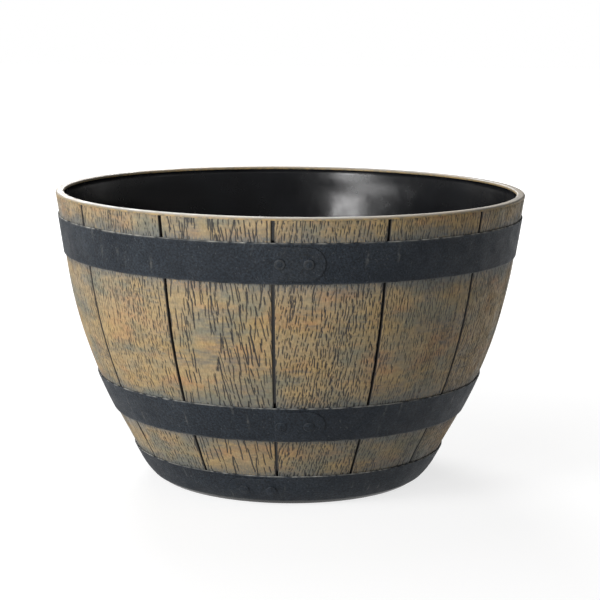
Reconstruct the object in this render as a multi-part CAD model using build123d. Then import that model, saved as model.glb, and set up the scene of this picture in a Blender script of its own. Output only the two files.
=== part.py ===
from build123d import *
from itertools import accumulate, pairwise
from math import atan2, cos, degrees, hypot, radians, sin, tan
import os

# Half barrel planter: a tub set with barrel staves, capped by a rim ring and bound by three hoops.
# Millimetres, +Z up, origin on the ground under the middle. The front faces -Y.

# Wall face of the barrel, from the rim down: straight, bowed, straight again, then turned in to the foot.
# The bow follows an arc, and is planed in straight courses between points of the arc.
height = 246.5
rim_radius = 200.3
upper_slope = radians(8.6)
upper_run = 60.0
bow_radius = 410.0
bow_courses = 3
lower_slope = radians(27.8)
stave_foot = 15.0
turn_slope = radians(38.0)
foot_height = 3.8

# Ring that caps the stave tops and the edge of the tub
rim_thickness = 2.2
rim_bevel = 1.2

# Tub that carries the staves and holds the soil. Its inside is plainer, with only some of the bends.
wall_thickness = 6.9
inner_bends = [2, 4]
floor_underside = 6.0
floor_thickness = 3.2
floor_corner = 7.0
foot_inner_radius = 105.0
foot_draft = 1.5
drain_count = 4
drain_radius = 6.0
drain_circle_radius = 70.0

# Staves, by the angle that each takes; the four at the front are wider than the ten behind.
# The face of each is planed across in narrow flats, and its back in two, which lie on flats of the tub.
edge_thickness = 3.0
front_widths = [26.9, 26.4, 26.2, 26.9]
back_stave_count = 10
first_joint = -57.1
stave_gap = 0.66
face_flats = 6
back_flats = 2

# Hoops: flat straps on the staves, with one end lapped over the other and held by two rivets
strap_thickness = 1.1
lap_inset = 3.0
lap_ramp = 5.0
rivet_pitch = 22.0
rivet_to_tip = 13.0
rivet_to_root = 5.0
lap_sector = 40.0
lap_reach = 60.0
rivet_head_radius = 4.6
rivet_top_radius = 2.6
rivet_head_height = 1.4

# Each hoop: heights of its edges, angle of its first rivet, which way its tip points, and the slant
# of the line where the lap begins
hoops = {
    "top": {"upper": 227.2, "lower": 194.6, "rivet": 4.2, "tip": 1, "slant": 0.0},
    "middle": {"upper": 91.8, "lower": 61.6, "rivet": 5.8, "tip": 1, "slant": 0.0},
    "bottom": {"upper": 28.4, "lower": foot_height, "rivet": -16.0, "tip": -1, "slant": 12.0},
}

front = -90.0
shelf = height - rim_thickness
floor_top = floor_underside + floor_thickness


def wall_corners():
    """Corners of the wall face as (radius, height), from the rim down to the ground."""
    bow_top = (rim_radius - upper_run * tan(upper_slope), height - upper_run)
    corners = [(rim_radius, height), bow_top]
    for course in range(1, bow_courses + 1):
        slope = upper_slope + (lower_slope - upper_slope) * course / bow_courses
        drop = bow_radius * (sin(slope) - sin(upper_slope))
        inset = bow_radius * (cos(upper_slope) - cos(slope))
        corners.append((bow_top[0] - inset, bow_top[1] - drop))
    for slope, low in ((lower_slope, stave_foot), (turn_slope, 0.0)):
        radius, z = corners[-1]
        corners.append((radius - (z - low) * tan(slope), low))
    return corners


corners = wall_corners()


def wall(z):
    """Radius and slope of the wall face at a height."""
    for above, below in pairwise(corners):
        if z >= below[1]:
            break
    slope = atan2(above[0] - below[0], above[1] - below[1])
    return below[0] + (z - below[1]) * tan(slope), slope


def off_wall(z, out=0.0):
    """The point that stands off the wall face, square to it, from the face's point at height z."""
    radius, slope = wall(z)
    return (radius + out * cos(slope), z - out * sin(slope))


def level(wanted, out):
    """The point at a height on the line that runs at an offset from the wall face."""
    z = wanted
    for _ in range(6):
        z = wanted + out * sin(wall(z)[1])
    return off_wall(z, out)


def off_corner(number, out):
    """The corner of a line that runs at an offset from the wall face."""
    radius, z = corners[number]
    upper, lower = wall(z + 0.01)[1], wall(z - 0.01)[1]
    reach = out / cos((lower - upper) / 2)
    lean = (upper + lower) / 2
    return (radius + reach * cos(lean), z - reach * sin(lean))


def bends(top, low, out):
    """Corners, between two heights, of a line that runs at an offset from the wall face."""
    return [off_corner(n, out) for n in range(1, len(corners) - 1) if low < corners[n][1] < top]


def section(*points):
    """Flat face through points given as (radius, height)."""
    return make_face(Polyline(*points, close=True))


def turned(face, arc=360.0):
    """The solid that a section makes when it is turned round the planter's axis."""
    return revolve(Plane.XZ * face, Axis.Z, arc)


def planed(rings):
    """Solid with flat sides, through closed rings of points that lie one below the other."""
    faces = [Face(Wire.make_polygon(ring)) for ring in (rings[0], rings[-1])]
    for above, below in pairwise(rings):
        for n in range(len(above)):
            faces.append(Face(Wire.make_polygon([above[n - 1], above[n], below[n], below[n - 1]])))
    return Solid(Shell(faces))


def at_angles(point, angles):
    """Points round the planter's axis, from one point of a profile."""
    return [(point[0] * cos(radians(a)), point[0] * sin(radians(a)), point[1]) for a in angles]


def spread(start, end, count):
    """Angles from start to end, in a number of equal steps."""
    return [start + (end - start) * n / count for n in range(count + 1)]


def stave_edges():
    """Angles of the two edges of each stave, from the left of the front, once round."""
    rest = (360.0 - sum(front_widths)) / back_stave_count
    widths = [*front_widths, *[rest] * back_stave_count]
    joints = accumulate(widths, initial=front + first_joint)
    return [(start + stave_gap / 2, end - stave_gap / 2) for start, end in pairwise(joints)]


def stave_profile(out):
    """Points down a stave, at an offset from the wall face."""
    return [level(shelf, out), *bends(shelf, stave_foot, out), level(stave_foot, out)]


def make_staves():
    """Staves in order from the left of the front, with an open gap between each and the next."""
    staves = {}
    for number, (start, end) in enumerate(stave_edges(), 1):
        face_angles = spread(start, end, face_flats)
        back_angles = spread(end, start, back_flats)
        profiles = zip(stave_profile(0), stave_profile(-edge_thickness))
        rings = [at_angles(face, face_angles) + at_angles(back, back_angles) for face, back in profiles]
        staves[f"stave_{number:02d}"] = planed(rings)
    return staves


def make_tub():
    """Tub with a round inside, a flat for each stave's back outside, a shelf under the staves and a foot
    ring that it stands on."""
    angles = [angle for start, end in stave_edges() for angle in spread(start, end, back_flats)]
    core = planed([at_angles(point, angles) for point in stave_profile(-edge_thickness)])
    foot = turned(
        section(
            (0, stave_foot),
            corners[-2],
            corners[-1],
            (foot_inner_radius, 0),
            (foot_inner_radius - foot_draft, floor_underside),
            (0, floor_underside),
        )
    )
    corner = level(floor_top + floor_corner, -wall_thickness)
    hollow = turned(
        section(
            (0, shelf),
            level(shelf, -wall_thickness),
            *[off_corner(number, -wall_thickness) for number in inner_bends],
            corner,
            (corner[0] - floor_corner, floor_top),
            (0, floor_top),
        )
    )
    drain = Pos(0, 0, floor_top) * Cylinder(drain_radius, 4 * floor_thickness)
    return core + foot - hollow - PolarLocations(drain_circle_radius, drain_count, start_angle=45) * drain


def make_rim():
    """Flat ring with a bevelled outer edge that lies on the stave tops and the tub's edge."""
    inner, outer = level(shelf, -wall_thickness), level(shelf, 0)
    return turned(
        section(
            outer,
            (outer[0], height - rim_bevel),
            (outer[0] - rim_bevel, height),
            (inner[0], height),
            inner,
        )
    )


def strap(upper, lower, inner, outer):
    """Section of a layer across a hoop's width, with its ends square to the wall face."""
    outside = [off_wall(upper, outer), *bends(upper, lower, outer), off_wall(lower, outer)]
    inside = [off_wall(lower, inner), *reversed(bends(upper, lower, inner)), off_wall(upper, inner)]
    return section(*outside, *inside)


def on_hoop(hoop, distance):
    """Place on the outside of a strap at mid-width, a distance along it from its first rivet: Z out, X to
    the right as seen from outside and Y up the wall."""
    middle = (hoop["upper"] + hoop["lower"]) / 2
    slope = wall(middle)[1]
    radius, z = off_wall(middle, strap_thickness)
    facing = Plane(origin=(radius, 0, z), x_dir=(0, 1, 0), z_dir=(cos(slope), 0, -sin(slope)))
    return Rot(0, 0, front + hoop["rivet"] + degrees(distance / radius)) * facing.location


def make_lap(hoop):
    """Lapped end of a strap: a tongue with a round tip that climbs on to the end below it."""
    tip = hoop["tip"]
    upper, lower = hoop["upper"] - lap_inset, hoop["lower"] + lap_inset
    top_edge, low_edge = off_wall(upper), off_wall(lower)
    half_width = hypot(top_edge[0] - low_edge[0], top_edge[1] - low_edge[1]) / 2
    root = -tip * (rivet_pitch + rivet_to_root)
    round_centre = tip * (rivet_to_tip - half_width)

    blank = turned(strap(upper, lower, 0.5 * strap_thickness, 2 * strap_thickness), lap_sector)
    blank = Rot(0, 0, front + hoop["rivet"] - tip * lap_sector / 4 - lap_sector / 2) * blank

    outline = Circle(half_width)
    outline += Pos(-tip * lap_reach / 2, 0) * Rectangle(lap_reach, 3 * half_width)
    tongue = blank & extrude(on_hoop(hoop, round_centre) * outline, lap_reach / 4, both=True)

    climb = -tip * degrees(atan2(strap_thickness, lap_ramp))
    ramp = on_hoop(hoop, root) * Rot(0, 0, hoop["slant"]) * Rot(0, climb, 0)
    above = Box(2 * lap_reach, 2 * lap_reach, lap_reach / 4, align=(Align.CENTER, Align.CENTER, Align.MIN))
    return (tongue - ramp * above).solid()


def make_hoop(hoop):
    """A strap with its lapped end, and the rivets whose heads lie on the lap."""
    band = turned(strap(hoop["upper"], hoop["lower"], 0.0, strap_thickness)) + make_lap(hoop)
    head = turned(
        section(
            (0, strap_thickness),
            (rivet_head_radius, strap_thickness),
            (rivet_top_radius, strap_thickness + rivet_head_height),
            (0, strap_thickness + rivet_head_height),
        )
    )
    return band.solid(), [on_hoop(hoop, distance) * head for distance in (0.0, -hoop["tip"] * rivet_pitch)]


def build():
    """Writes one file for each node."""
    os.makedirs("parts", exist_ok=True)
    parts = {"rim_ring": make_rim(), "inner_tub": make_tub(), **make_staves()}
    rivets = []
    for name, hoop in hoops.items():
        parts[f"hoop_{name}"], pair = make_hoop(hoop)
        rivets += pair
    parts["hoop_rivets"] = Compound(children=rivets)
    for name, shape in parts.items():
        export_step(shape, f"parts/{name}.step")


build()
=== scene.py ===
from math import cos, pi, radians, sin, tan

import bmesh
import bpy
import numpy as np
from mathutils import Matrix, Vector


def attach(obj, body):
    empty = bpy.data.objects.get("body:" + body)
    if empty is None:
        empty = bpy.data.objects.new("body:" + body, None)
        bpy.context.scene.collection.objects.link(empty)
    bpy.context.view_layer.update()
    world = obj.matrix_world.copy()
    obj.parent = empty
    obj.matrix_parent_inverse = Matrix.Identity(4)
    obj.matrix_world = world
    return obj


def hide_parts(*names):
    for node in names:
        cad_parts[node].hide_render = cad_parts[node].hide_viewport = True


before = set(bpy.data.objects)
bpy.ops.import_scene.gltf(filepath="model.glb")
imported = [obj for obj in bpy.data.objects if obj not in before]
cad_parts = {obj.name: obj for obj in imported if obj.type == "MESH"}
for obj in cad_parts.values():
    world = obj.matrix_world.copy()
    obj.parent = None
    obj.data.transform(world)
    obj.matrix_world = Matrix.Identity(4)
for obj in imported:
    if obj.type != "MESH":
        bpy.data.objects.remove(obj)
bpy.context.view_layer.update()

# Half barrel planter, in metres and in the frame of the solids: +Z up, the front faces -Y.
MM = 0.001
FRONT = -90.0

# Wall face: straight below the rim, bowed, straight again, then turned in to the foot
HEIGHT = 246.5 * MM
RIM_RADIUS = 200.3 * MM
UPPER_SLOPE = radians(8.6)
BOW_TOP = 186.5 * MM
BOW_RADIUS = 410.0 * MM
LOWER_SLOPE = radians(27.8)
TURN_TOP = 18.5 * MM
TURN_RADIUS = 60.0 * MM
BOW_FOOT = BOW_TOP - BOW_RADIUS * (sin(LOWER_SLOPE) - sin(UPPER_SLOPE))

# Rim ring and tub
RIM_THICKNESS = 2.2 * MM
SHELF = HEIGHT - RIM_THICKNESS
TUB_WALL = 6.9 * MM
FLOOR_TOP = 9.2 * MM
FLOOR_UNDERSIDE = 6.0 * MM
FOOT_OUTER_RADIUS = 114.4 * MM
FOOT_INNER_RADIUS = 105.0 * MM
DRAIN_RADIUS = 6.0 * MM
DRAIN_CIRCLE_RADIUS = 70.0 * MM
DRAIN_COUNT = 4
RIM_ROUND_OUTSIDE = 1.8 * MM
RIM_ROUND_INSIDE = 1.2 * MM

# Inside of the tub: its smooth part, the band below the rim where the wall is thinner, and the steps of the
# rounded corner at the floor as (inward, down) in millimetres
INSIDE_TOP = 243.0 * MM
INSIDE_LOW = 24.0 * MM
BAND_LOW = 222.0 * MM
BAND_RAMP = 12.0 * MM
BAND_DEPTH = 0.6 * MM
FLOOR_CORNER = [(3.2, 6.6), (6.6, 10.8), (10.6, 13.4), (15.0, 14.5)]

# Staves, by the angle that each takes
STAVE_DEPTH = 3.0 * MM
STAVE_FOOT = 15.0 * MM
FRONT_WIDTHS = [26.9, 26.4, 26.2, 26.9]
BACK_STAVE_COUNT = 10
FIRST_JOINT = -57.1
STAVE_GAP = 0.66
TUB_CLEARANCE = 0.1 * MM

# Relief of a stave's face: pores, saw marks, slow swells, softened edges and the dark of the gap beside it
PORE_DEPTH = 0.42 * MM
SAW_DEPTH = 0.12 * MM
SWELL = 0.45 * MM
EDGE_REACH = 0.9 * MM
EDGE_DROP = 0.5 * MM
GAP_DARK = 0.35 * MM

# Hoops: heights of the edges, angle of the first rivet, which way the tongue points, and the slant of the
# line where it begins
STRAP = 1.1 * MM
LAP_INSET = 3.0 * MM
LAP_RAMP = 5.0 * MM
HOOPS = {
    "top": {"upper": 227.2 * MM, "lower": 194.6 * MM, "rivet": 4.2, "tip": 1, "slant": 0.0},
    "middle": {"upper": 91.8 * MM, "lower": 61.6 * MM, "rivet": 5.8, "tip": 1, "slant": 0.0},
    "bottom": {"upper": 28.4 * MM, "lower": 3.8 * MM, "rivet": -16.0, "tip": -1, "slant": 12.0},
}
RIVET_PITCH = 22.0 * MM
RIVET_TO_TIP = 13.0 * MM
RIVET_TO_ROOT = 5.0 * MM
RIVET_RADIUS = 4.4 * MM

# Head of a rivet as (share of its radius, height in millimetres), from its edge to its middle
RIVET_HEAD = [(1.0, -0.3), (1.0, 0.25), (0.96, 0.5), (0.87, 0.74), (0.74, 0.84), (0.62, 0.84), (0.52, 0.92),
              (0.40, 1.10), (0.25, 1.22), (0.10, 1.28)]
RIVET_SUNK = 0.1 * MM
TONGUE_SUNK = 0.12 * MM
TONGUE_BEVEL = 0.45 * MM
TONGUE_REACH = 44 * MM
TONGUE_MESH = 1.6 * MM
STRAP_HAMMERED = 0.10 * MM
TONGUE_HAMMERED = 0.06 * MM
SCUFF_COUNT = 26

# How far the hoops' charcoal drifts on to the wood, above and below each hoop
DRIFT_ABOVE = 5.5 * MM
DRIFT_BELOW = 6.0 * MM

# Starts of the random draws, which make every run the same
GRAIN_SEED = 40
FACE_SEED = 900
STRAP_SEED = 300
TONGUE_SEED = 400

# Studio: shade of the floor, its glow near the planter and far off with the distances where they hold, light
# of the room, and how high the backdrop shows in reflections
FLOOR_SHADE = 0.35
NEAR, NEAR_LIFT = 0.25, 0.74
FAR, FAR_LIFT = 1.2, 0.97
ROOM_LIGHT = 0.15
BACKDROP_FULL, BACKDROP_END = 0.02, 0.12

# Lights: place, point that each faces, size, and power in watts
LIGHTS = {
    "key": ((-1.65, -1.40, 1.45), (0, 0, 0.12), (1.0, 1.0), 39),
    "window": ((-1.15, -1.70, 0.42), (0, 0, 0.18), (0.62, 0.46), 17),
    "fill": ((1.5, -1.1, 1.8), (0, 0, 0.12), (1.0, 1.0), 2),
    "back": ((-0.5, 2.1, 1.5), (0, 0, 0.12), (1.2, 1.0), 50),
}

# Camera: lens and sensor in millimetres, place in metres, and its turns in degrees
LENS = 109.74
SENSOR = 36.0
CAMERA_PLACE = (0.0, -1.563, 0.4189)
CAMERA_PAN = -0.331
CAMERA_DIP = 9.772
CAMERA_ROLL = 0.546

# Colours of the finishes
TAN = (0.40, 0.295, 0.160)
OCHRE = (0.42, 0.290, 0.125)
RUST = (0.43, 0.235, 0.110)
GREY_GREEN = (0.185, 0.190, 0.140)
PORE = (0.012, 0.012, 0.014)
SAW = (0.13, 0.13, 0.125)
OVERSPRAY = (0.115, 0.13, 0.135)
CHARCOAL = (0.012, 0.016, 0.022)
CHARCOAL_WORN = (0.022, 0.028, 0.036)
# Light dots on the charcoal: painted glints off the hammered skin
CHARCOAL_GLINT = (0.16, 0.165, 0.165)
SCUFF = (0.17, 0.17, 0.16)
# Pale paint of the hoops' edges, the laps' outlines and the rivets' shoulders: partly rub wear, partly
# painted highlight
RUB_AND_HIGHLIGHT = (0.52, 0.51, 0.46)
TUB_BLACK = (0.004, 0.004, 0.005)
TUB_WORN = (0.007, 0.008, 0.010)
LIP_TAN = (0.47, 0.40, 0.31)
LIP_GREY = (0.38, 0.355, 0.31)
LIP_SIDE = (0.22, 0.18, 0.11)
LIP_DUST = (0.16, 0.15, 0.14)


def wall(z):
    """Radius and slope of the wall face at a height, or at an array of heights."""
    z = np.asarray(z, float)
    upper, lower = sin(UPPER_SLOPE), sin(LOWER_SLOPE)
    bow = np.arcsin(np.clip(upper + (BOW_TOP - z) / BOW_RADIUS, upper, lower))
    turn = np.arcsin(np.clip(lower + (TURN_TOP - z) / TURN_RADIUS, lower, 0.99))
    radius = RIM_RADIUS - (HEIGHT - np.maximum(z, BOW_TOP)) * tan(UPPER_SLOPE)
    radius -= BOW_RADIUS * (cos(UPPER_SLOPE) - np.cos(bow))
    radius -= (BOW_FOOT - np.clip(z, TURN_TOP, BOW_FOOT)) * tan(LOWER_SLOPE)
    radius -= TURN_RADIUS * (cos(LOWER_SLOPE) - np.cos(turn))
    return radius, bow + turn - LOWER_SLOPE


WALL_HEIGHTS = np.linspace(HEIGHT, 0.0, 1000)
WALL_STEPS = np.hypot(np.diff(wall(WALL_HEIGHTS)[0]), np.diff(WALL_HEIGHTS))
WALL_RUNS = np.concatenate([[0.0], np.cumsum(WALL_STEPS)])


def run_at(z):
    """Distance down the wall face from the rim to a height."""
    return np.interp(-np.asarray(z), -WALL_HEIGHTS, WALL_RUNS)


def height_at(run):
    """Height at a distance down the wall face from the rim."""
    return np.interp(run, WALL_RUNS, WALL_HEIGHTS)


def heights_down(top, low, count):
    """Heights from top to low at even distances along the wall face."""
    return height_at(np.linspace(run_at(top), run_at(low), count + 1))


def off_wall(z, out=0.0):
    """Point of a turned profile, at a distance square off the wall face."""
    radius, slope = wall(z)
    return Vector((radius + out * np.cos(slope), 0.0, z - out * np.sin(slope)))


def level(z, out):
    """Point of a turned profile at a height, on a line at a distance off the wall face."""
    from_height = z
    for _ in range(6):
        from_height = z + out * sin(wall(from_height)[1])
    return off_wall(from_height, out)


def mesh_from(bm, name):
    """Mesh of a bmesh, with its normals outward."""
    bmesh.ops.recalc_face_normals(bm, faces=bm.faces)
    if bm.calc_volume(signed=True) < 0:
        bmesh.ops.reverse_faces(bm, faces=bm.faces)
    mesh = bpy.data.meshes.new(name)
    bm.to_mesh(mesh)
    bm.free()
    return mesh


def vertex_places(mesh):
    """Places of all vertices as rows of an array."""
    places = np.empty(len(mesh.vertices) * 3)
    mesh.vertices.foreach_get("co", places)
    return places.reshape(-1, 3)


def paint_vertices(mesh, name, red, green, blue):
    """Keeps three amounts at each vertex as a colour attribute, which a finish reads."""
    layer = mesh.color_attributes.new(name, "FLOAT_COLOR", "POINT")
    amounts = np.stack(np.broadcast_arrays(red, green, blue, np.ones(len(mesh.vertices))), axis=1)
    layer.data.foreach_set("color", np.clip(amounts, 0, 1).ravel())


def finish_piece(mesh, material, replaced, crease=40.0):
    """Finished piece that rides on the planter and stands for a CAD node."""
    piece = bpy.data.objects.new(mesh.name, mesh)
    bpy.context.scene.collection.objects.link(piece)
    mesh.materials.append(material)
    mesh.shade_smooth()
    mesh.set_sharp_from_angle(angle=radians(crease))
    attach(piece, "root")
    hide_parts(replaced)
    return piece


def turn_profile(points, steps):
    """Closed ring turned from a closed profile of points in the XZ plane."""
    bm = bmesh.new()
    verts = [bm.verts.new(point) for point in points]
    edges = [bm.edges.new((verts[n - 1], verts[n])) for n in range(len(verts))]
    bmesh.ops.spin(bm, geom=verts + edges, cent=(0, 0, 0), axis=(0, 0, 1), dvec=(0, 0, 0),
                   angle=2 * pi, steps=steps, use_merge=True)
    bmesh.ops.remove_doubles(bm, verts=bm.verts, dist=1e-6)
    loose = [edge for edge in bm.edges if not edge.link_faces]
    bmesh.ops.delete(bm, geom=loose, context="EDGES")
    return bm


def quarter(centre, radius, start, end, count):
    """Points of an arc in the XZ plane."""
    angles = np.linspace(radians(start), radians(end), count + 1)
    return [centre + Vector((radius * cos(a), 0, radius * sin(a))) for a in angles]


def add_node(tree, kind, inputs=None, **settings):
    """Node with its settings, and with its inputs linked to sockets or set to values."""
    made = tree.nodes.new(kind)
    for name, value in settings.items():
        setattr(made, name, value)
    for socket, value in (inputs or {}).items():
        if isinstance(value, bpy.types.NodeSocket):
            tree.links.new(value, made.inputs[socket])
        else:
            made.inputs[socket].default_value = value
    return made


class Shading:
    """A material's node tree, with short calls for the nodes that the finishes use."""

    def __init__(self, name, **constants):
        self.material = bpy.data.materials.new(name)
        self.material.use_nodes = True
        self.tree = self.material.node_tree
        self.shader = self.tree.nodes["Principled BSDF"]
        for socket, value in constants.items():
            self.shader.inputs[socket.replace("_", " ")].default_value = value

    def node(self, kind, inputs=None, **settings):
        return add_node(self.tree, kind, inputs, **settings)

    def place(self, scale=(1, 1, 1)):
        """Position on the piece, in metres, stretched by a scale."""
        here = self.node("ShaderNodeTexCoord").outputs["Object"]
        return self.node("ShaderNodeMapping", {"Vector": here, "Scale": scale}).outputs["Vector"]

    def noise(self, scale, detail=3.0, roughness=0.55, stretch=(1, 1, 1)):
        """Soft random amount, about 0.5 on average."""
        inputs = {"Vector": self.place(stretch), "Scale": scale, "Detail": detail, "Roughness": roughness}
        return self.node("ShaderNodeTexNoise", inputs).outputs["Fac"]

    def range(self, value, low, high, to_low=0.0, to_high=1.0):
        """Amount carried from one range to another, and kept inside it."""
        inputs = {"Value": value, "From Min": low, "From Max": high, "To Min": to_low, "To Max": to_high}
        return self.node("ShaderNodeMapRange", inputs).outputs["Result"]

    def times(self, a, b):
        """Product of two amounts."""
        return self.node("ShaderNodeMath", {0: a, 1: b}, operation="MULTIPLY").outputs[0]

    def mix(self, factor, a, b, blend="MIX"):
        """Colour made of two, each of them a socket or a plain colour."""
        ends = [end if isinstance(end, bpy.types.NodeSocket) else (*end, 1.0) for end in (a, b)]
        inputs = {0: factor, 6: ends[0], 7: ends[1]}
        return self.node("ShaderNodeMix", inputs, data_type="RGBA", blend_type=blend).outputs[2]

    def grey(self, value):
        """Colour with the same amount in each channel."""
        inputs = {"Red": value, "Green": value, "Blue": value}
        return self.node("ShaderNodeCombineColor", inputs).outputs[0]

    def attribute(self, name):
        """The amounts that are kept at the vertices, as sockets."""
        painted = self.node("ShaderNodeAttribute", attribute_name=name, attribute_type="GEOMETRY")
        return self.node("ShaderNodeSeparateColor", {"Color": painted.outputs["Color"]}).outputs

    def colour(self, value):
        self.tree.links.new(value, self.shader.inputs["Base Color"])

    def roughness(self, value):
        self.tree.links.new(value, self.shader.inputs["Roughness"])

    def bump(self, height, distance, strength):
        inputs = {"Height": height, "Distance": distance, "Strength": strength}
        bump = self.node("ShaderNodeBump", inputs)
        self.tree.links.new(bump.outputs["Normal"], self.shader.inputs["Normal"])


def wood_paint():
    """Wood-effect paint: tan, with ochre, rust and grey-green rubbed across it, a dark wash in the pores,
    and the hoops' charcoal drifted on to the wood beside them."""
    s = Shading("wood_effect_paint")
    pore, saw, drift = s.attribute("carving")[:3]
    base = s.mix(s.range(s.noise(12.0, 3.0, 0.6, (1, 1, 2.2)), 0.38, 0.62), TAN, OCHRE)
    rubbed = s.range(s.noise(26.0, 5.0, 0.65, (1, 1, 2.6)), 0.50, 0.68)
    base = s.mix(s.times(rubbed, 0.8), base, RUST)
    weathered = s.range(s.noise(17.0, 6.0, 0.68, (1, 1, 2.4)), 0.45, 0.62)
    base = s.mix(s.times(weathered, 0.8), base, GREY_GREEN)
    streak = s.range(s.noise(60.0, 4.0, 0.6, (1, 1, 9)), 0.35, 0.65, 0.92, 1.06)
    base = s.mix(1.0, base, s.grey(streak), "MULTIPLY")
    fleck = s.range(s.noise(700.0, 2.0, 0.6, (1, 1, 0.3)), 0.36, 0.64, 0.80, 1.16)
    base = s.mix(1.0, base, s.grey(fleck), "MULTIPLY")
    base = s.mix(saw, base, SAW)
    base = s.mix(drift, base, OVERSPRAY)
    s.colour(s.mix(pore, base, PORE))
    s.roughness(s.range(s.noise(60.0), 0.3, 0.7, 0.50, 0.68))
    s.bump(s.noise(900.0, 2.0, 0.5, (1, 1, 0.25)), 0.15 * MM, 0.5)
    return s.material


def charcoal_strap():
    """Hoop finish: dark charcoal with a fine hammered skin and painted glints on it, and pale along its edges
    from rub wear and a painted highlight.
    """
    s = Shading("charcoal_strap", Specular_IOR_Level=0.22)
    rub_and_highlight, scuff = s.attribute("wear_and_highlight")[:2]
    base = s.mix(s.range(s.noise(24.0, 5.0, 0.6), 0.38, 0.64), CHARCOAL, CHARCOAL_WORN)
    # Fine mottle, lighter and darker, partly the paint's own and partly painted sparkle of the hammered skin;
    # then light dots that are painted glints
    mottle_and_sparkle = s.range(s.noise(620.0, 3.0, 0.65), 0.34, 0.70, 0.40, 1.75)
    base = s.mix(1.0, base, s.grey(mottle_and_sparkle), "MULTIPLY")
    glint_dots = s.range(s.noise(480.0, 2.0, 0.5), 0.64, 0.74, 0.0, 0.28)
    base = s.mix(glint_dots, base, CHARCOAL_GLINT)
    base = s.mix(s.times(scuff, s.range(s.noise(300.0), 0.35, 0.6)), base, SCUFF)
    # Pale along the edges: partly rub wear, partly a painted highlight
    s.colour(s.mix(rub_and_highlight, base, RUB_AND_HIGHLIGHT))
    s.roughness(s.range(s.noise(90.0), 0.3, 0.7, 0.54, 0.70))
    s.bump(s.noise(650.0, 3.0, 0.6), 0.6 * MM, 0.8)
    return s.material


def tub_resin():
    """Smooth black moulding with a soft sheen."""
    s = Shading("tub_resin", Specular_IOR_Level=0.5)
    s.colour(s.mix(s.range(s.noise(25.0, 3.0), 0.3, 0.7), TUB_BLACK, TUB_WORN))
    s.roughness(s.range(s.noise(30.0, 6.0, 0.65), 0.35, 0.65, 0.17, 0.30))
    s.bump(s.noise(40.0, 3.0, 0.5), 1.2 * MM, 0.22)
    return s.material


def rim_paint():
    """Smooth pale tan lip that turns to the colour of the wood down its outer side."""
    s = Shading("rim_paint")
    height = s.node("ShaderNodeSeparateXYZ", {"Vector": s.place()}).outputs["Z"]
    pale = s.mix(s.range(s.noise(14.0, 4.0), 0.4, 0.65), LIP_TAN, LIP_GREY)
    side = s.mix(s.range(s.noise(220.0, 3.0), 0.4, 0.6), OCHRE, LIP_SIDE)
    base = s.mix(s.range(height, SHELF + 0.9 * MM, SHELF + 1.6 * MM), side, pale)
    s.colour(s.mix(s.range(s.noise(240.0, 4.0), 0.62, 0.78, 0.0, 0.6), base, LIP_DUST))
    s.roughness(s.range(s.noise(60.0), 0.3, 0.7, 0.40, 0.6))
    s.bump(s.noise(500.0, 3.0, 0.5), 0.2 * MM, 0.4)
    return s.material


# Maps of a stave's face: size of their cells, and the width and length that they cover
CELL = 0.3 * MM
GRAIN_WIDTH = 98.0 * MM
GRAIN_LENGTH = 262.0 * MM
FAN_REACH = 40 * MM
LONGEST_DASH = 30 * MM

# How a stave's grain runs: distance between its lines, length of the dashes and of the gaps between them,
# width of a pore, all in millimetres; lean of the lines from upright, and by how much it grows across the
# stave, in degrees; how far dashes stray; hearts that the lines part round as (across, down, half width,
# half length); how many saw marks for each square centimetre
GRAINS = {
    "short": {"spacing": 2.1, "dash": 4.2, "gap": 1.6, "width": 0.62, "lean": 1, "fan": 0, "stray": 0.5,
              "hearts": [], "saw": 3},
    "arched": {"spacing": 3.3, "dash": 12.0, "gap": 1.4, "width": 0.80, "lean": -6, "fan": -9, "stray": 0.35,
               "hearts": [(-13, 108, 12, 22), (-12, 20, 9, 14)], "saw": 9},
    "slanted": {"spacing": 2.05, "dash": 5.0, "gap": 1.1, "width": 0.76, "lean": 13, "fan": 2, "stray": 0.5,
                "hearts": [], "saw": 3},
    "fine": {"spacing": 1.9, "dash": 5.2, "gap": 1.5, "width": 0.58, "lean": 4, "fan": -3, "stray": 0.4,
             "hearts": [], "saw": 11},
    "parted": {"spacing": 2.9, "dash": 8.5, "gap": 1.6, "width": 0.74, "lean": 3, "fan": 6, "stray": 0.4,
               "hearts": [(9, 150, 11, 26), (15, 60, 9, 18)], "saw": 6},
}
GRAIN_ORDER = ["short", "arched", "slanted", "fine", "slanted", "parted", "short"]
GRAIN_ORDER += ["fine", "arched", "slanted", "short", "parted", "slanted", "fine"]


def smooth_noise(rng, shape, cell):
    """Array of soft random values from 0 to 1, with blobs of about a number of cells each way."""
    coarse = rng.random((shape[0] // cell[0] + 3, shape[1] // cell[1] + 3))
    y = np.linspace(0, coarse.shape[0] - 2.001, shape[0])
    x = np.linspace(0, coarse.shape[1] - 2.001, shape[1])
    iy, ix = y.astype(int), x.astype(int)
    fy, fx = (y - iy)[:, None], (x - ix)[None, :]
    fy, fx = fy * fy * (3 - 2 * fy), fx * fx * (3 - 2 * fx)
    top = coarse[iy][:, ix] * (1 - fx) + coarse[iy][:, ix + 1] * fx
    low = coarse[iy + 1][:, ix] * (1 - fx) + coarse[iy + 1][:, ix + 1] * fx
    return top * (1 - fy) + low * fy


def cells_at(x, y, shape):
    """Row and column of the cells at places on the stave's face, kept inside the map."""
    row = np.clip((y / CELL).astype(int), 0, shape[0] - 1)
    column = np.clip(((x + GRAIN_WIDTH / 2) / CELL).astype(int), 0, shape[1] - 1)
    return row, column


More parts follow.
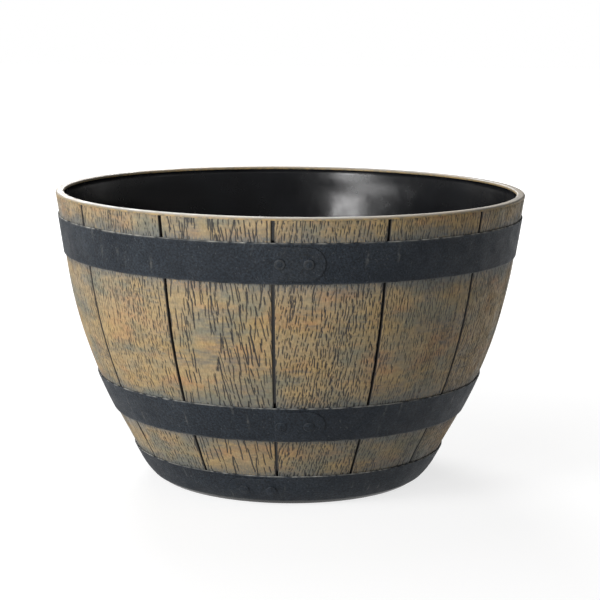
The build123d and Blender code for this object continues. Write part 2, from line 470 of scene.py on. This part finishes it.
def press_dots(pores, x, y, half_width, strength):
    """Presses one dot of each stroke into the map of pores."""
    column = (x + GRAIN_WIDTH / 2) / CELL
    row = (y / CELL).astype(int)
    for offset in (-2, -1, 0, 1, 2):
        cell = np.round(column).astype(int) + offset
        inside = (cell >= 0) & (cell < pores.shape[1]) & (row >= 0) & (row < pores.shape[0])
        press = np.clip(1.5 - np.abs(cell - column) * CELL / half_width, 0, 1) * strength
        np.maximum.at(pores, (row[inside], cell[inside]), press[inside])


def lay_dashes(grain, rng):
    """Dashes along the lines of the grain: the home of each one's line, its middle and its length."""
    reach = GRAIN_WIDTH / 2 + GRAIN_LENGTH * 0.32
    dashes = []
    for home in np.arange(-reach, reach, grain["spacing"] * MM):
        home += rng.normal(0, 0.22) * grain["spacing"] * MM
        y = -rng.uniform(0, 8) * MM
        while y < GRAIN_LENGTH:
            length = rng.lognormal(np.log(grain["dash"]), 0.5) * MM
            dashes.append((home, y + length / 2, length))
            y += length + rng.gamma(1.6, grain["gap"] / 1.6) * MM
    return np.array(dashes).T


def follow_grain(grain, home, y, wander):
    """Place across the stave of a line of the grain at a distance down the stave."""
    middle = y - 0.45 * GRAIN_LENGTH
    across = home + radians(-grain["lean"]) * middle
    across -= np.tan(radians(grain["fan"])) * middle * np.clip(across / FAN_REACH, -1, 1)
    across += wander
    for heart_x, heart_y, half_width, half_length in grain["hearts"]:
        off_x, off_y = across - heart_x * MM, (y - heart_y * MM) / (half_length * MM)
        push = half_width * MM * np.exp(-off_y ** 2) * np.exp(-np.abs(off_x) / (half_width * 1.6 * MM))
        across = across + np.where(off_x > 0, 1, -1) * push
    return across


def draw_grain(kind, seed):
    """Maps of a stave's pores and of its saw marks, in cells down and across its face."""
    grain = GRAINS[kind]
    rng = np.random.default_rng(seed)
    shape = (int(GRAIN_LENGTH / CELL), int(GRAIN_WIDTH / CELL))
    pores, saw = np.zeros(shape), np.zeros(shape)

    home, middle, length = lay_dashes(grain, rng)
    drift = (smooth_noise(rng, shape, (200, 60)) - 0.5) * 9 * MM
    wander = drift[cells_at(home, middle, shape)]
    x = follow_grain(grain, home, middle, wander) + rng.normal(0, grain["stray"] * MM, len(home))
    crowded = 0.5 + 1.1 * smooth_noise(rng, shape, (110, 45))
    kept = rng.random(len(x)) < crowded[cells_at(x, middle, shape)]
    kept &= np.abs(x) < GRAIN_WIDTH / 2 + 5 * MM
    x, y, length = x[kept], (middle - length / 2)[kept], length[kept]
    half_width = rng.uniform(0.65, 1.3, len(x)) * grain["width"] / 2 * MM
    depth = rng.uniform(0.5, 1.0, len(x)) ** 0.6
    lean = np.tan(radians(0.45 * grain["lean"]) + rng.normal(0, radians(4.5), len(x)))
    x = x + lean * length / 2
    for step in range(int(LONGEST_DASH / CELL)):
        travelled = step * CELL
        alive = travelled < length
        taper = np.clip(np.minimum(travelled + CELL, length - travelled) / (1.0 * MM), 0.3, 1)
        narrowed = half_width * (0.5 + 0.5 * taper)
        press_dots(pores, x[alive], y[alive], narrowed[alive], (depth * taper)[alive])
        x = x - CELL * lean + rng.normal(0, 0.075 * MM, len(x))
        y = y + CELL

    scratched = np.clip((smooth_noise(rng, shape, (45, 90)) - 0.5) * 5, 0, 1)
    for _ in range(int(grain["saw"] * GRAIN_LENGTH * GRAIN_WIDTH * 1e4)):
        row, start = rng.integers(2, shape[0] - 6), rng.integers(0, shape[1] - 15)
        end = min(start + rng.integers(15, 85), shape[1])
        fade = np.hanning(end - start) * rng.uniform(0.3, 0.95) * scratched[row, start:end]
        for below, share in enumerate((0.4, 0.8, 1.0, 0.8, 0.4)):
            saw[row + below, start:end] = np.maximum(saw[row + below, start:end], fade * share)
    return pores, saw


def look_up(cells, x, y):
    """Values of a map at places on the stave's face, blended between its cells."""
    column = np.clip((x + GRAIN_WIDTH / 2) / CELL - 0.5, 0, cells.shape[1] - 1.001)
    row = np.clip(y / CELL - 0.5, 0, cells.shape[0] - 1.001)
    c, r = column.astype(int), row.astype(int)
    fc, fr = column - c, row - r
    top = cells[r, c] * (1 - fc) + cells[r, c + 1] * fc
    low = cells[r + 1, c] * (1 - fc) + cells[r + 1, c + 1] * fc
    return top * (1 - fr) + low * fr


def drift_beside_hoops(x, y, z, rng):
    """How much of the hoops' charcoal has drifted on to the wood: dense at a hoop, speckled farther off."""
    patchy = smooth_noise(rng, (900, 400), (40, 40))
    reach = 0.5 + 1.3 * look_up(patchy, x, y)
    amount = np.zeros(len(z))
    for hoop in HOOPS.values():
        for edge, far in ((hoop["upper"], DRIFT_ABOVE), (hoop["lower"], DRIFT_BELOW)):
            away = np.abs(z - edge) / (far * reach)
            amount = np.maximum(amount, np.exp(-away ** 1.6))
    return amount * np.clip(rng.normal(0.75, 0.35, len(z)), 0, 1)


def turn_stave(width):
    """Plain mesh of a stave that is so many degrees wide and starts at angle zero."""
    rows, columns = ((208, 256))
    bm = bmesh.new()
    face = [off_wall(z) for z in heights_down(SHELF, STAVE_FOOT, rows)]
    back = [level(z, -STAVE_DEPTH) for z in np.linspace(STAVE_FOOT, SHELF, 9)]
    section = bm.faces.new([bm.verts.new(point) for point in face + back])
    bmesh.ops.spin(bm, geom=[section], cent=(0, 0, 0), axis=(0, 0, 1), dvec=(0, 0, 0),
                   angle=radians(width - STAVE_GAP), steps=columns, use_merge=False)
    return mesh_from(bm, "plain_stave")


def carve_stave(plain, number, start, width, material):
    """Stave with a bowed face, sunk pores, saw marks and softened edges, from a plain one."""
    mesh = plain.copy()
    mesh.name = f"carved_{number:02d}"
    mesh.transform(Matrix.Rotation(radians(start + STAVE_GAP / 2), 4, "Z"))
    places = vertex_places(mesh)
    radius = np.hypot(places[:, 0], places[:, 1])
    turn = (np.degrees(np.arctan2(places[:, 1], places[:, 0])) - start - width / 2 + 180) % 360 - 180
    wall_radius, slope = wall(places[:, 2])
    on_face = radius > wall_radius - 0.2 * MM

    x = np.radians(turn) * radius
    y = run_at(places[:, 2])
    pores, saw = draw_grain(GRAIN_ORDER[number - 1], GRAIN_SEED + number)
    pore, marks = look_up(pores, x, y), look_up(saw, x, y)
    rng = np.random.default_rng(FACE_SEED + number)
    half = np.radians((width - STAVE_GAP) / 2) * radius
    to_edge = np.minimum(half - np.abs(x), y - run_at(SHELF))
    softened = np.clip(1 - to_edge / EDGE_REACH, 0, 1) ** 2 * EDGE_DROP
    swell = look_up(smooth_noise(rng, pores.shape, (70, 50)), x, y) * SWELL
    sink = np.where(on_face, pore * PORE_DEPTH + marks * SAW_DEPTH + softened + swell, 0.0)
    places[:, :2] *= (1 - sink * np.cos(slope) / radius)[:, None]
    places[:, 2] += sink * np.sin(slope)
    mesh.vertices.foreach_set("co", places.ravel())
    drift = drift_beside_hoops(x, y, places[:, 2], rng)
    groove = np.clip(1.6 - (half - np.abs(x)) / GAP_DARK, 0, 1)
    dark = np.maximum(np.clip(pore * 1.6, 0, 1), np.where(on_face, groove, 1.0))
    paint_vertices(mesh, "carving", dark * 0.97, marks * 0.8, drift)
    finish_piece(mesh, material, f"stave_{number:02d}", 55.0)


def lay_staves(material):
    """All staves, from the left of the front and on round; those of a width start from one plain stave."""
    rest = (360.0 - sum(FRONT_WIDTHS)) / BACK_STAVE_COUNT
    widths = [*FRONT_WIDTHS, *[rest] * BACK_STAVE_COUNT]
    plain = {width: turn_stave(width) for width in set(widths)}
    start = FRONT + FIRST_JOINT
    for number, width in enumerate(widths, 1):
        carve_stave(plain[width], number, start, width, material)
        start += width
    for mesh in plain.values():
        bpy.data.meshes.remove(mesh)


def hammer(mesh, seed, depth):
    """Presses a fine uneven skin into the outside of a strap, and gives the new places of its vertices."""
    rng = np.random.default_rng(seed)
    places = vertex_places(mesh)
    radius = np.hypot(places[:, 0], places[:, 1])
    wall_radius, slope = wall(places[:, 2])
    outside = np.clip((radius - wall_radius) / (0.8 * STRAP), 0, 1)
    sink = outside * rng.random(len(radius)) * depth
    places[:, :2] *= (1 - sink * np.cos(slope) / radius)[:, None]
    places[:, 2] += sink * np.sin(slope)
    mesh.vertices.foreach_set("co", places.ravel())
    return places


def broken(angle, seed, parts):
    """Amount from 0 to 1 that comes and goes round the planter."""
    rng = np.random.default_rng(seed)
    amounts = rng.random(parts)
    at = (angle / (2 * pi) % 1.0) * parts
    low = at.astype(int) % parts
    return amounts[low] * (1 - at % 1) + amounts[(low + 1) % parts] * (at % 1)


def hoop_profile(hoop, count):
    """Closed profile of a strap with rounded edges, that follows the wall face."""
    heights = heights_down(hoop["upper"], hoop["lower"], count)
    outside = [off_wall(z, STRAP) for z in heights]
    down = (outside[-1] - outside[0]).normalized() * MM
    points = []
    for z, inward in ((heights[0], down), (heights[-1], -down)):
        edge = [off_wall(z, 0.0), off_wall(z, 0.6 * STRAP), off_wall(z, 0.86 * STRAP) + 0.12 * inward]
        points.append([*edge, off_wall(z, STRAP) + 0.45 * inward])
    return [*points[0], *outside[1:-1], *reversed(points[1])]


def scuff_strap(angle, share, seed):
    """How strongly each vertex shows one of the short scuffs that cross a strap here and there."""
    rng = np.random.default_rng(seed)
    scuff = np.zeros(len(share))
    for _ in range(SCUFF_COUNT):
        at, low, lean = rng.uniform(-pi, pi), rng.uniform(0.1, 0.8), rng.uniform(-0.02, 0.02)
        along = (angle - at - lean * share + pi) % (2 * pi) - pi
        mark = np.exp(-(along / 0.0045) ** 2) * np.exp(-((share - low) / 0.16) ** 2)
        scuff = np.maximum(scuff, mark * rng.uniform(0.2, 0.8))
    return scuff


def bend_strap(name, hoop, seed, material):
    """A strap turned from its profile, with a hammered skin, and edges painted pale by rub wear and a painted
    highlight.
    """
    rows, steps = ((34, 1000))
    mesh = mesh_from(turn_profile(hoop_profile(hoop, rows), steps), f"strap_{name}")
    places = hammer(mesh, seed, STRAP_HAMMERED)
    angle = np.arctan2(places[:, 1], places[:, 0])
    run, top, foot = run_at(places[:, 2]), run_at(hoop["upper"]), run_at(hoop["lower"])
    outside = np.hypot(places[:, 0], places[:, 1]) > wall(places[:, 2])[0] + 0.3 * STRAP
    # Pale paint along the upper edge, weaker along the lower: partly rub wear, partly a painted highlight
    # where the edge meets the light
    upper = np.exp(-((run - top - 0.1 * MM) / (0.65 * MM)) ** 2)
    lower = np.exp(-((run - foot) / (0.55 * MM)) ** 2)
    come_and_go = np.clip(broken(angle, seed, 380) * 1.3 - 0.15, 0, 1)
    come_and_go *= 0.35 + 0.65 * broken(angle, seed + 9, 40)
    rub_and_highlight = (upper * come_and_go + 0.2 * lower * broken(angle, seed + 3, 300)) * outside
    scuff = scuff_strap(angle, (run - top) / (foot - top), seed + 70)
    paint_vertices(mesh, "wear_and_highlight", rub_and_highlight, scuff * outside, 0.0)
    finish_piece(mesh, material, f"hoop_{name}", 60.0)


def strap_place(hoop, x, y, out):
    """Point on a strap: x along it from the first rivet to the right, y up it from mid-width."""
    middle = 0.5 * (run_at(hoop["upper"]) + run_at(hoop["lower"]))
    spot = off_wall(float(height_at(middle - y)), out)
    angle = radians(FRONT + hoop["rivet"]) + x / float(wall((hoop["upper"] + hoop["lower"]) / 2)[0])
    return Matrix.Rotation(angle, 3, "Z") @ spot


def lay_on_strap(bm, hoop, base):
    """Bends a flat bmesh (X along the strap, Y up it, Z off it) on to the strap."""
    for vert in bm.verts:
        vert.co = strap_place(hoop, vert.co.x, vert.co.y, base + vert.co.z)


def raise_tongue(tip, half_width, tip_x, root_x, slant):
    """Flat tongue, round at the tip and bevelled along its outer edge, with a mesh that can bend."""
    bm = bmesh.new()
    arc = np.linspace(-pi / 2, pi / 2, 49)
    outline = [Vector((tip_x - tip * half_width * (1 - cos(a)), half_width * sin(a), 0)) for a in arc]
    outline += [Vector((root_x - slant, half_width, 0)), Vector((root_x + slant, -half_width, 0))]
    face = bm.faces.new([bm.verts.new(point) for point in outline])
    raised = bmesh.ops.extrude_face_region(bm, geom=[face])
    top = [item for item in raised["geom"] if isinstance(item, bmesh.types.BMVert)]
    bmesh.ops.translate(bm, verts=top, vec=(0, 0, STRAP))
    bmesh.ops.recalc_face_normals(bm, faces=bm.faces)
    rim = [edge for edge in bm.edges if all(abs(vert.co.z - STRAP) < 1e-7 for vert in edge.verts)]
    bmesh.ops.bevel(bm, geom=rim, offset=TONGUE_BEVEL, offset_type="OFFSET", segments=3, profile=0.5,
                    affect="EDGES", material=-1, clamp_overlap=True)
    for normal, span in (((1, 0, 0), TONGUE_REACH), ((0, 1, 0), half_width)):
        for step in np.linspace(-0.94, 0.94, 2 * int(span / TONGUE_MESH)):
            bmesh.ops.bisect_plane(bm, geom=bm.verts[:] + bm.edges[:] + bm.faces[:], dist=1e-6,
                                   plane_co=Vector(normal) * step * span, plane_no=normal)
    return bm


def cut_tongue(name, hoop, seed, material):
    """Lapped end of a strap: narrower than it, round at the tip, and climbing from its root."""
    tip = hoop["tip"]
    half_width = (run_at(hoop["lower"]) - run_at(hoop["upper"])) / 2 - LAP_INSET
    tip_x, root_x = tip * RIVET_TO_TIP, -tip * (RIVET_PITCH + RIVET_TO_ROOT)
    slant = tan(radians(hoop["slant"])) * half_width
    bm = raise_tongue(tip, half_width, tip_x, root_x, slant)
    climbs = []
    for vert in bm.verts:
        past_root = (vert.co.x - root_x + slant * vert.co.y / half_width) * tip
        climbs.append(min(1.0, max(0.0, past_root / LAP_RAMP)))
        vert.co.z *= 0.2 + 0.8 * climbs[-1]
    lay_on_strap(bm, hoop, STRAP - TONGUE_SUNK)
    mesh = mesh_from(bm, f"tongue_{name}")
    places = hammer(mesh, seed, TONGUE_HAMMERED)
    height = (np.hypot(places[:, 0], places[:, 1]) - wall(places[:, 2])[0]) / STRAP
    rng = np.random.default_rng(seed + 5)
    # Pale paint along the lap's bevelled outline, only at full height: partly rub wear, partly a painted
    # highlight on the raised edge
    edge = np.exp(-((height - 1.72) / 0.13) ** 2) * np.clip(rng.normal(0.35, 0.25, len(height)), 0, 1)
    paint_vertices(mesh, "wear_and_highlight", edge * 0.12 * (np.array(climbs) > 0.99), 0.0, 0.0)
    finish_piece(mesh, material, f"hoop_{name}", 35.0)


def set_rivets(material):
    """Low round heads with a raised middle, two on each lap, all in one piece."""
    joined = bmesh.new()
    single = bpy.data.meshes.new("rivet")
    for hoop in HOOPS.values():
        for along in (0.0, -hoop["tip"] * RIVET_PITCH):
            bm = bmesh.new()
            verts = [bm.verts.new((share * RIVET_RADIUS, 0, height * MM)) for share, height in RIVET_HEAD]
            edges = [bm.edges.new(pair) for pair in zip(verts, verts[1:])]
            bmesh.ops.spin(bm, geom=verts + edges, cent=(0, 0, 0), axis=(0, 0, 1), dvec=(0, 0, 0),
                           angle=2 * pi, steps=40, use_merge=True)
            bmesh.ops.holes_fill(bm, edges=bm.edges, sides=64)
            bmesh.ops.translate(bm, verts=bm.verts, vec=(along, 0, 0))
            lay_on_strap(bm, hoop, 2 * STRAP - RIVET_SUNK)
            bmesh.ops.recalc_face_normals(bm, faces=bm.faces)
            bm.to_mesh(single)
            bm.free()
            joined.from_mesh(single)
    bpy.data.meshes.remove(single)
    mesh = mesh_from(joined, "rivets")
    places = vertex_places(mesh)
    height = (np.hypot(places[:, 0], places[:, 1]) - wall(places[:, 2])[0]) / MM
    # Faint pale ring round each head's shoulder: a painted highlight
    paint_vertices(mesh, "wear_and_highlight", np.exp(-((height - 2.9) / 0.12) ** 2) * 0.05, 0.0, 0.0)
    finish_piece(mesh, material, "hoop_rivets", 60.0)


def drill_drains(body):
    """Cuts the drain holes through the tub's floor."""
    for turn in range(DRAIN_COUNT):
        angle = radians(45 + 360 * turn / DRAIN_COUNT)
        bm = bmesh.new()
        bmesh.ops.create_cone(bm, cap_ends=True, segments=48, radius1=DRAIN_RADIUS, radius2=DRAIN_RADIUS,
                              depth=4 * FLOOR_TOP)
        spot = (DRAIN_CIRCLE_RADIUS * cos(angle), DRAIN_CIRCLE_RADIUS * sin(angle), FLOOR_TOP)
        bmesh.ops.translate(bm, verts=bm.verts, vec=spot)
        drill = bpy.data.objects.new("drill", mesh_from(bm, "drill"))
        bpy.context.scene.collection.objects.link(drill)
        cut = body.modifiers.new("drain", "BOOLEAN")
        cut.operation, cut.solver, cut.object = "DIFFERENCE", "EXACT", drill
        drilled = bpy.data.meshes.new_from_object(body.evaluated_get(bpy.context.evaluated_depsgraph_get()))
        body.modifiers.clear()
        body.data = drilled
        bpy.data.objects.remove(drill)
    body.data.name = "tub_body"


def turn_tub(material):
    """Black tub: smooth inside, a little thinner below the rim, with a floor, drain holes and a foot ring."""
    inside = [level(SHELF, -TUB_WALL)]
    for z in heights_down(INSIDE_TOP, INSIDE_LOW, 74):
        inside.append(level(z, -TUB_WALL + BAND_DEPTH * min(1.0, max(0.0, (z - BAND_LOW) / BAND_RAMP))))
    corner = inside[-1]
    for inward, down in FLOOR_CORNER:
        inside.append(corner + Vector((-inward, 0, -down)) * MM)
    inside[-1].z = FLOOR_TOP
    inside.append(Vector((DRAIN_CIRCLE_RADIUS, 0, FLOOR_TOP)))
    inside.append(Vector((0, 0, FLOOR_TOP)))
    under = [Vector((0, 0, FLOOR_UNDERSIDE)), Vector((FOOT_INNER_RADIUS - 1.5 * MM, 0, FLOOR_UNDERSIDE)),
             Vector((FOOT_INNER_RADIUS, 0, 0.6 * MM)), Vector((FOOT_INNER_RADIUS + 0.6 * MM, 0, 0)),
             Vector((FOOT_OUTER_RADIUS - 1.0 * MM, 0, 0)), Vector((FOOT_OUTER_RADIUS, 0, 0.8 * MM))]
    outside = [off_wall(z, 0.0) for z in np.linspace(2.6 * MM, STAVE_FOOT, 8)]
    outside += [level(z, -STAVE_DEPTH - TUB_CLEARANCE) for z in np.linspace(STAVE_FOOT, SHELF, 60)]
    mesh = mesh_from(turn_profile(inside + under + outside, 240), "tub_body")
    drill_drains(finish_piece(mesh, material, "inner_tub", 35.0))


def turn_rim(material):
    """Thin ring over the stave tops, rounded outside and inside."""
    inner, outer = level(SHELF, -TUB_WALL), level(SHELF, 0)
    points = [inner, outer]
    bend, lip = RIM_ROUND_OUTSIDE, RIM_ROUND_INSIDE
    points += quarter(Vector((outer.x - bend, 0, HEIGHT - bend)), bend, 0, 90, 10)
    points += quarter(Vector((inner.x + lip, 0, HEIGHT - lip)), lip, 90, 180, 6)
    finish_piece(mesh_from(turn_profile(points, 480), "rim"), material, "rim_ring", 60.0)


def softbox(name, place, aim, size, power):
    """Soft studio light that faces a point."""
    lamp = bpy.data.lights.new(name, "AREA")
    lamp.shape = "RECTANGLE"
    lamp.size, lamp.size_y = size
    lamp.energy = power
    light = bpy.data.objects.new(name, lamp)
    light.location = place
    light.rotation_euler = (Vector(aim) - Vector(place)).to_track_quat("-Z", "Y").to_euler()
    bpy.context.scene.collection.objects.link(light)


def share_seen(tree):
    """Two amounts: 1 for a ray of the camera, and 1 for that or for one that a gloss or a clear piece sends
    on."""
    path = add_node(tree, "ShaderNodeLightPath").outputs
    seen = path["Is Camera Ray"]
    for kind in ("Is Glossy Ray", "Is Transmission Ray"):
        seen = add_node(tree, "ShaderNodeMath", {0: seen, 1: path[kind]}, operation="MAXIMUM").outputs[0]
    return path["Is Camera Ray"], seen


def build_floor():
    """Pale floor that shows as white and keeps the planter's soft shadow."""
    bm = bmesh.new()
    bmesh.ops.create_grid(bm, x_segments=1, y_segments=1, size=8.0)
    floor = bpy.data.objects.new("floor", mesh_from(bm, "floor"))
    bpy.context.scene.collection.objects.link(floor)
    material = bpy.data.materials.new("pale_floor")
    material.use_nodes = True
    tree = material.node_tree
    tree.nodes.clear()
    here = add_node(tree, "ShaderNodeTexCoord").outputs["Object"]
    away = add_node(tree, "ShaderNodeVectorMath", {0: here}, operation="LENGTH").outputs["Value"]
    paling = {"Value": away, "From Min": NEAR, "From Max": FAR, "To Min": NEAR_LIFT, "To Max": FAR_LIFT}
    lift = add_node(tree, "ShaderNodeMapRange", paling).outputs["Result"]
    shown = {"Value": share_seen(tree)[1], "To Max": lift}
    lift = add_node(tree, "ShaderNodeMapRange", shown).outputs["Result"]
    matt = add_node(tree, "ShaderNodeBsdfDiffuse", {"Color": (FLOOR_SHADE, FLOOR_SHADE, FLOOR_SHADE, 1)})
    glow = add_node(tree, "ShaderNodeEmission", {"Strength": lift})
    both = add_node(tree, "ShaderNodeAddShader", {0: matt.outputs[0], 1: glow.outputs[0]})
    add_node(tree, "ShaderNodeOutputMaterial", {"Surface": both.outputs[0]})
    floor.data.materials.append(material)


def build_world():
    """Dim studio with a white backdrop: white all over to the camera, and low down in reflections."""
    world = bpy.data.worlds.new("studio")
    bpy.context.scene.world = world
    world.use_nodes = True
    tree = world.node_tree
    camera_ray, seen = share_seen(tree)
    ahead = add_node(tree, "ShaderNodeTexCoord").outputs["Generated"]
    up = add_node(tree, "ShaderNodeSeparateXYZ", {"Vector": ahead}).outputs["Z"]
    fading = {"Value": up, "From Min": BACKDROP_END, "From Max": BACKDROP_FULL}
    low = add_node(tree, "ShaderNodeMapRange", fading).outputs["Result"]
    backdrop = add_node(tree, "ShaderNodeMath", {0: seen, 1: low}, operation="MULTIPLY").outputs[0]
    white = add_node(tree, "ShaderNodeMath", {0: backdrop, 1: camera_ray}, operation="MAXIMUM").outputs[0]
    strength = add_node(tree, "ShaderNodeMapRange", {"Value": white, "To Min": ROOM_LIGHT, "To Max": 1.0})
    shown = tree.nodes["Background"]
    shown.inputs["Color"].default_value = (1, 1, 1, 1)
    tree.links.new(strength.outputs["Result"], shown.inputs["Strength"])


def set_camera():
    """Long lens, a little above the rim, with the photograph's small pan and roll."""
    data = bpy.data.cameras.new("camera")
    data.lens, data.sensor_width = LENS, SENSOR
    camera = bpy.data.objects.new("camera", data)
    pan = Matrix.Rotation(radians(CAMERA_PAN), 4, "Z")
    tilt = Matrix.Rotation(radians(90 - CAMERA_DIP), 4, "X")
    roll = Matrix.Rotation(radians(CAMERA_ROLL), 4, "Z")
    camera.matrix_world = Matrix.Translation(CAMERA_PLACE) @ pan @ tilt @ roll
    bpy.context.scene.collection.objects.link(camera)
    bpy.context.scene.camera = camera


strap = charcoal_strap()
lay_staves(wood_paint())
for order, (hoop_name, hoop) in enumerate(HOOPS.items()):
    bend_strap(hoop_name, hoop, STRAP_SEED + order, strap)
    cut_tongue(hoop_name, hoop, TONGUE_SEED + order, strap)
set_rivets(strap)
turn_tub(tub_resin())
turn_rim(rim_paint())

build_floor()
build_world()
for lamp_name, settings in LIGHTS.items():
    softbox(lamp_name, *settings)
set_camera()
bpy.context.scene.view_settings.view_transform = "Standard"
